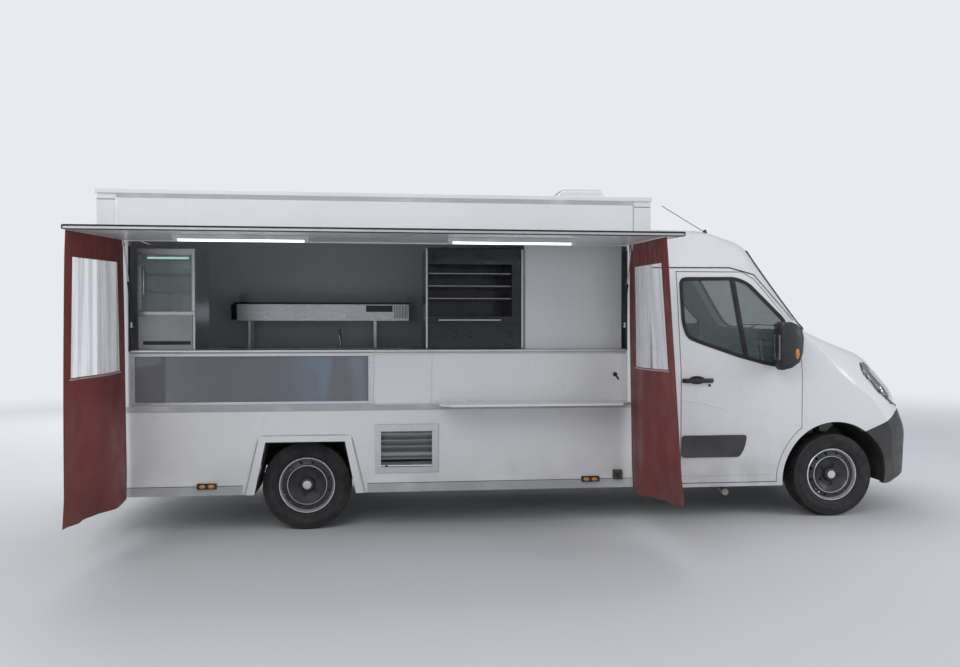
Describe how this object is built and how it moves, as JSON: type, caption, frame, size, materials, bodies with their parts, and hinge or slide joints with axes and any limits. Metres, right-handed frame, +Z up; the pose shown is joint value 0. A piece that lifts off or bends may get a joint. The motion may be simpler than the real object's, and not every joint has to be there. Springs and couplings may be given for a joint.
{
  "type": "food truck",
  "caption": "Food truck on a chassis cab: serving box with a raised flap, side curtains, display counter and shelf.",
  "frame": {"origin": "on the ground, on the centreline, midway between the two axles", "axes": "+X forward, +Y to the vehicle's left, +Z up; the serving side faces -Y"},
  "size_m": [6.7926, 3.5552, 2.81],
  "materials": {
    "white_paint": "gloss",
    "box_panel": "semi-gloss",
    "chassis_black": "matte",
    "engine_iron": "matte",
    "black_plastic": "textured",
    "grey_plastic": "satin",
    "black_enamel": "gloss",
    "stainless": "brushed",
    "aluminium": "satin",
    "wheel_steel": "satin",
    "tyre": "matte",
    "glass": "clear",
    "lamp_clear": "gloss",
    "lamp_amber": "gloss",
    "curtain_red": "woven",
    "seat_cloth": "woven"
  },
  "bodies": {
    "chassis": {"chassis_frame": "chassis_black", "rear_axle": "chassis_black", "fuel_tank": "black_plastic", "engine_block": "engine_iron", "cab_body": "white_paint", "front_bumper": "black_plastic", "headlamps": "lamp_clear", "windscreen": "glass", "dashboard": "black_plastic", "seats": "seat_cloth", "aerial": "black_plastic", "box_floor": "box_panel", "box_walls": "box_panel", "box_roof": "box_panel", "hatch_frame": "box_panel", "counter_front": "box_panel", "display_glass": "glass", "worktop": "aluminium", "counter_units": "box_panel", "fridge": "stainless", "oven": "black_enamel", "topping_chiller": "stainless", "louvre": "aluminium", "power_inlet": "grey_plastic", "roof_vent": "grey_plastic", "marker_lamps": "lamp_amber", "rear_bumper": "chassis_black"},
    "wheel_front_left": {"tyre_front_left": "tyre", "rim_front_left": "wheel_steel"},
    "wheel_front_right": {"tyre_front_right": "tyre", "rim_front_right": "wheel_steel"},
    "wheel_rear_left": {"tyre_rear_left": "tyre", "rim_rear_left": "wheel_steel"},
    "wheel_rear_right": {"tyre_rear_right": "tyre", "rim_rear_right": "wheel_steel"},
    "knuckle_left": {"knuckle_left": "chassis_black"},
    "cab_door_left": {"door_left": "white_paint", "door_glass_left": "glass", "door_trim_left": "black_plastic"},
    "knuckle_right": {"knuckle_right": "chassis_black"},
    "cab_door_right": {"door_right": "white_paint", "door_glass_right": "glass", "door_trim_right": "black_plastic"},
    "steering_wheel": {"steering_wheel": "black_plastic"},
    "bonnet": {"bonnet": "white_paint"},
    "rear_door": {"rear_door": "box_panel"},
    "flap": {"flap": "box_panel", "flap_lamps": "grey_plastic", "curtains": "curtain_red"},
    "strut_tubes": {"strut_tubes": "chassis_black"},
    "strut_rods": {"strut_rods": "stainless"},
    "serving_shelf": {"serving_shelf": "box_panel"}
  },
  "joints": [
    {"name": "steer_left", "type": "hinge", "parent": "chassis", "child": "knuckle_left", "pos_m": [2.166, 0.775, 0.235], "axis": [0, -0.1886, 0.9821], "range_deg": [-34, 34]},
    {"name": "steer_right", "type": "hinge", "parent": "chassis", "child": "knuckle_right", "pos_m": [2.166, -0.775, 0.235], "axis": [0, 0.1886, 0.9821], "range_deg": [-34, 34]},
    {"name": "spin_front_left", "type": "hinge", "parent": "knuckle_left", "child": "wheel_front_left", "pos_m": [2.166, 0.868, 0.346], "axis": [0, 1, 0], "continuous": true},
    {"name": "spin_front_right", "type": "hinge", "parent": "knuckle_right", "child": "wheel_front_right", "pos_m": [2.166, -0.868, 0.346], "axis": [0, 1, 0], "continuous": true},
    {"name": "spin_rear_left", "type": "hinge", "parent": "chassis", "child": "wheel_rear_left", "pos_m": [-2.166, 0.868, 0.346], "axis": [0, 1, 0], "continuous": true},
    {"name": "spin_rear_right", "type": "hinge", "parent": "chassis", "child": "wheel_rear_right", "pos_m": [-2.166, -0.868, 0.346], "axis": [0, 1, 0], "continuous": true},
    {"name": "steering_wheel_turn", "type": "hinge", "parent": "chassis", "child": "steering_wheel", "pos_m": [1.48, 0.44, 1.26], "axis": [-0.5299, 0, 0.848], "range_deg": [-527, 527]},
    {"name": "cab_door_left_hinge", "type": "hinge", "parent": "chassis", "child": "cab_door_left", "pos_m": [1.8715, 1.042, 1.1], "axis": [0, 0, -1], "range_deg": [0, 72]},
    {"name": "cab_door_right_hinge", "type": "hinge", "parent": "chassis", "child": "cab_door_right", "pos_m": [1.8715, -1.042, 1.1], "axis": [0, 0, 1], "range_deg": [0, 72]},
    {"name": "bonnet_hinge", "type": "hinge", "parent": "chassis", "child": "bonnet", "pos_m": [2, 0, 1.53], "axis": [0, -1, 0], "range_deg": [0, 55]},
    {"name": "rear_door_hinge", "type": "hinge", "parent": "chassis", "child": "rear_door", "pos_m": [-3.699, 0.3665, 1.48], "axis": [0, 0, -1], "range_deg": [0, 105]},
    {"name": "flap_hinge", "type": "hinge", "parent": "chassis", "child": "flap", "pos_m": [-1.5, -1.105, 2.235], "axis": [1, 0, 0], "range_deg": [0, 87.6], "deforming": ["curtains"]},
    {"name": "serving_shelf_hinge", "type": "hinge", "parent": "chassis", "child": "serving_shelf", "pos_m": [-0.4, -1.082, 1.004], "axis": [-1, 0, 0], "range_deg": [0, 90]},
    {"name": "strut_swing", "type": "hinge", "parent": "chassis", "child": "strut_tubes", "pos_m": [-1.5, -1.072, 1.6], "axis": [-1, 0, 0], "range_deg": [0, 23.75]},
    {"name": "strut_stroke", "type": "slide", "parent": "strut_tubes", "child": "strut_rods", "axis": [0, 0.3675, -0.93], "range_m": [0, 0.1966]}
  ],
  "couplings": [
    {"joint": "steer_right", "follows": "steer_left", "ratio": 1},
    {"joint": "steering_wheel_turn", "follows": "steer_left", "ratio": 15},
    {"joint": "strut_swing", "follows": "flap_hinge", "ratio": 0.2597},
    {"joint": "strut_stroke", "follows": "flap_hinge", "m_per_rad": 0.12661}
  ]
}
